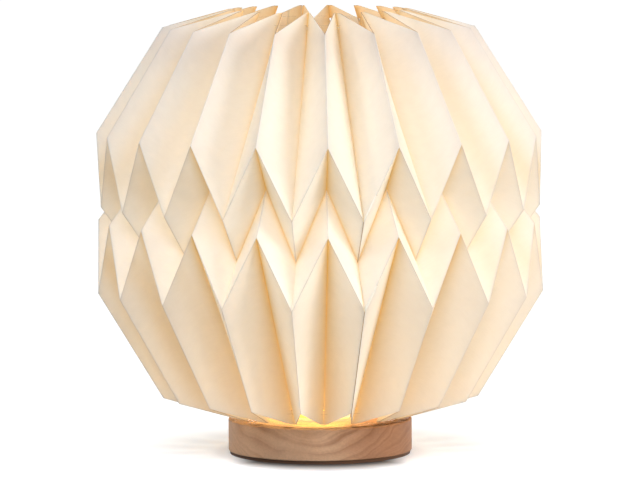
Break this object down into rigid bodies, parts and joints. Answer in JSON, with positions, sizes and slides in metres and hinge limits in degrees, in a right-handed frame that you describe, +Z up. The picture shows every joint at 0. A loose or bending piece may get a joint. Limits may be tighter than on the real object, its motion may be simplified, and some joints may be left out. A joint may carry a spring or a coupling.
{
  "type": "pleated paper table lamp",
  "caption": "Table lamp with a pleated paper globe shade open at the top, standing on a turned wooden disc that holds a rechargeable LED light.",
  "frame": {"origin": "on the lamp's axis at the table, under the foot pad", "axes": "+Z up, front at -Y, charging inlet and push button at +Y"},
  "size_m": [0.278, 0.278, 0.279],
  "materials": {
    "pleated_paper": "matte, glows warm when lit",
    "turned_wood": "satin lacquer",
    "foot_felt": "matte",
    "black_plastic": "matte",
    "port_plastic": "fine spark texture",
    "button_plastic": "satin",
    "white_plastic": "satin",
    "diffuser_plastic": "frosted, lit",
    "clear_plastic": "clear gloss",
    "nylon_thread": "clear gloss",
    "screw_steel": "zinc plated",
    "inlet_steel": "satin",
    "spreader_aluminium": "satin",
    "foam": "matte",
    "battery_foil": "satin foil",
    "wire_insulation": "satin",
    "board_green": "solder mask",
    "board_white": "solder mask",
    "led_yellow": "phosphor, lit"
  },
  "bodies": {
    "base": {"wood_base": "turned_wood", "foot_pad": "foot_felt", "bottom_cover": "black_plastic", "cover_screws": "screw_steel", "battery_foam_tape": "foam", "battery_pouch": "battery_foil", "battery_lead": "wire_insulation", "control_board": "board_green", "board_parts": "black_plastic", "board_screws": "screw_steel", "usb_shell": "inlet_steel", "usb_tongue": "black_plastic", "switch_body": "black_plastic", "light_pipe": "clear_plastic", "port_plate": "port_plastic", "led_holder": "white_plastic", "heat_spreader": "spreader_aluminium", "holder_screws": "screw_steel", "led_board": "board_white", "led_chips": "led_yellow", "led_screws": "screw_steel", "led_lead": "wire_insulation", "led_diffuser": "diffuser_plastic", "shade_collar": "clear_plastic"},
    "button": {"button_cap": "button_plastic", "switch_stem": "white_plastic"},
    "shade": {"shade_sheet_right": "pleated_paper", "shade_sheet_left": "pleated_paper", "top_gather_thread": "nylon_thread", "hem_gather_thread": "nylon_thread"}
  },
  "joints": [
    {"name": "shade_lift", "type": "slide", "parent": "base", "child": "shade", "axis": [0, 0, 1], "range_m": [0, 0.03]},
    {"name": "button_press", "type": "slide", "parent": "base", "child": "button", "axis": [0, -1, 0], "range_m": [0, 0.0005], "stiffness_N_per_m": 2000}
  ]
}
